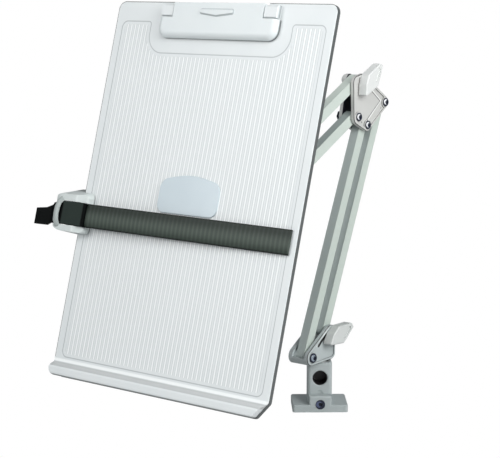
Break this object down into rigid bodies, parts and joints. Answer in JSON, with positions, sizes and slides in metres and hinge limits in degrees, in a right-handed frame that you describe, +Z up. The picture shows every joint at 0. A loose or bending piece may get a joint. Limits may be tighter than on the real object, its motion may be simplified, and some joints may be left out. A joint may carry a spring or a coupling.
{
  "type": "copy holder",
  "caption": "Desk copy holder: ribbed board with a ledge, spring clip and sliding line guide, on a two-stage parallel-bar arm with clamp levers and a swivel foot.",
  "frame": {"origin": "middle of the foot's underside, on the swivel axis", "axes": "+X across the board and along every arm pivot, -Y towards the reader, +Z up"},
  "size_m": [0.2869, 0.337, 0.3834],
  "materials": {
    "board_plastic": "satin",
    "shell_plastic": "satin",
    "plaque_plastic": "satin",
    "clip_plastic": "satin",
    "carriage_plastic": "satin",
    "holder_plastic": "satin",
    "strip_plastic": "glossy",
    "lever_plastic": "satin",
    "arm_paint": "satin",
    "plate_paint": "satin",
    "casting_paint": "satin",
    "dark_steel": "satin",
    "bright_steel": "satin"
  },
  "bodies": {
    "base": {"foot_plate": "casting_paint", "foot_screw": "dark_steel", "swivel_post": "casting_paint", "swivel_washer": "bright_steel", "swivel_bolt": "bright_steel"},
    "yoke": {"yoke_casting": "casting_paint", "yoke_near_plate": "casting_paint", "yoke_pivot_bolt": "dark_steel", "base_clamp_bolt": "bright_steel"},
    "base_lever": {"base_clamp_lever": "lever_plastic"},
    "lower_front_arm": {"lower_front_bar": "arm_paint"},
    "lower_rear_arm": {"lower_rear_bar": "arm_paint"},
    "elbow": {"elbow_near_plate": "plate_paint", "elbow_far_plate": "plate_paint", "elbow_pivot_bolts": "dark_steel", "elbow_rear_pivot_bolt": "dark_steel", "elbow_nuts": "bright_steel", "elbow_clamp_bolt": "bright_steel"},
    "elbow_lever": {"elbow_clamp_lever": "lever_plastic"},
    "upper_low_arm": {"upper_low_bar": "arm_paint"},
    "upper_top_arm": {"upper_top_bar": "arm_paint"},
    "head": {"head_near_plate": "plate_paint", "head_far_plate": "plate_paint", "head_low_pivot_bolt": "dark_steel", "head_top_pivot_bolt": "dark_steel", "head_nuts": "bright_steel", "tilt_bolt": "dark_steel", "tilt_nut": "bright_steel"},
    "board": {"board_bracket": "arm_paint", "bracket_screws": "bright_steel", "back_shell": "shell_plastic", "front_panel": "board_plastic", "name_plaque": "plaque_plastic", "clip_pin": "bright_steel"},
    "clip": {"clip_plate": "clip_plastic", "clip_spring": "bright_steel"},
    "carriage": {"guide_carriage": "carriage_plastic", "guide_pin": "bright_steel"},
    "guide": {"strip_holder": "holder_plastic", "guide_strip": "strip_plastic", "guide_spring": "bright_steel"}
  },
  "joints": [
    {"name": "base_swivel", "type": "hinge", "parent": "base", "child": "yoke", "pos_m": [0, 0, 0.0465], "axis": [0, 0, 1], "continuous": true},
    {"name": "lower_arm_lean", "type": "hinge", "parent": "yoke", "child": "lower_front_arm", "pos_m": [0, -0.026, 0.054], "axis": [1, 0, 0], "range_deg": [-10, 25]},
    {"name": "lower_rear_bar_pivot", "type": "hinge", "parent": "yoke", "child": "lower_rear_arm", "pos_m": [0, 0.0035, 0.074], "axis": [1, 0, 0], "range_deg": [-10, 25]},
    {"name": "elbow_level", "type": "hinge", "parent": "lower_front_arm", "child": "elbow", "pos_m": [0, 0.06237, 0.26526], "axis": [1, 0, 0], "range_deg": [-25, 10]},
    {"name": "base_clamp_turn", "type": "hinge", "parent": "yoke", "child": "base_lever", "pos_m": [0, 0.0035, 0.074], "axis": [1, 0, 0], "range_deg": [-30, 60]},
    {"name": "upper_arm_lift", "type": "hinge", "parent": "elbow", "child": "upper_low_arm", "pos_m": [0, 0.04737, 0.27376], "axis": [1, 0, 0], "range_deg": [-35, 10]},
    {"name": "upper_top_bar_pivot", "type": "hinge", "parent": "elbow", "child": "upper_top_arm", "pos_m": [0, 0.05387, 0.30826], "axis": [1, 0, 0], "range_deg": [-35, 10]},
    {"name": "head_level", "type": "hinge", "parent": "upper_low_arm", "child": "head", "pos_m": [0, -0.15445, 0.16555], "axis": [1, 0, 0], "range_deg": [-10, 35]},
    {"name": "elbow_clamp_turn", "type": "hinge", "parent": "elbow", "child": "elbow_lever", "pos_m": [0, 0.05387, 0.30826], "axis": [1, 0, 0], "range_deg": [-60, 30]},
    {"name": "board_tilt", "type": "hinge", "parent": "head", "child": "board", "pos_m": [0, -0.172, 0.188], "axis": [1, 0, 0], "range_deg": [-20, 16]},
    {"name": "clip_open", "type": "hinge", "parent": "board", "child": "clip", "pos_m": [0, -0.14638, 0.37508], "axis": [-1, 0, 0], "range_deg": [0, 30], "stiffness_Nm_per_rad": 0.1, "springref_deg": -28.65},
    {"name": "guide_slide", "type": "slide", "parent": "board", "child": "carriage", "axis": [0, 0.279, 0.9603], "range_m": [-0.105, 0.145]},
    {"name": "guide_open", "type": "hinge", "parent": "carriage", "child": "guide", "pos_m": [-0.126, -0.20311, 0.19776], "axis": [0, -0.279, -0.9603], "range_deg": [0, 30], "stiffness_Nm_per_rad": 0.06, "springref_deg": -28.65}
  ],
  "couplings": [
    {"joint": "lower_rear_bar_pivot", "follows": "lower_arm_lean", "ratio": 1},
    {"joint": "elbow_level", "follows": "lower_arm_lean", "ratio": -1},
    {"joint": "upper_top_bar_pivot", "follows": "upper_arm_lift", "ratio": 1},
    {"joint": "head_level", "follows": "upper_arm_lift", "ratio": -1}
  ]
}
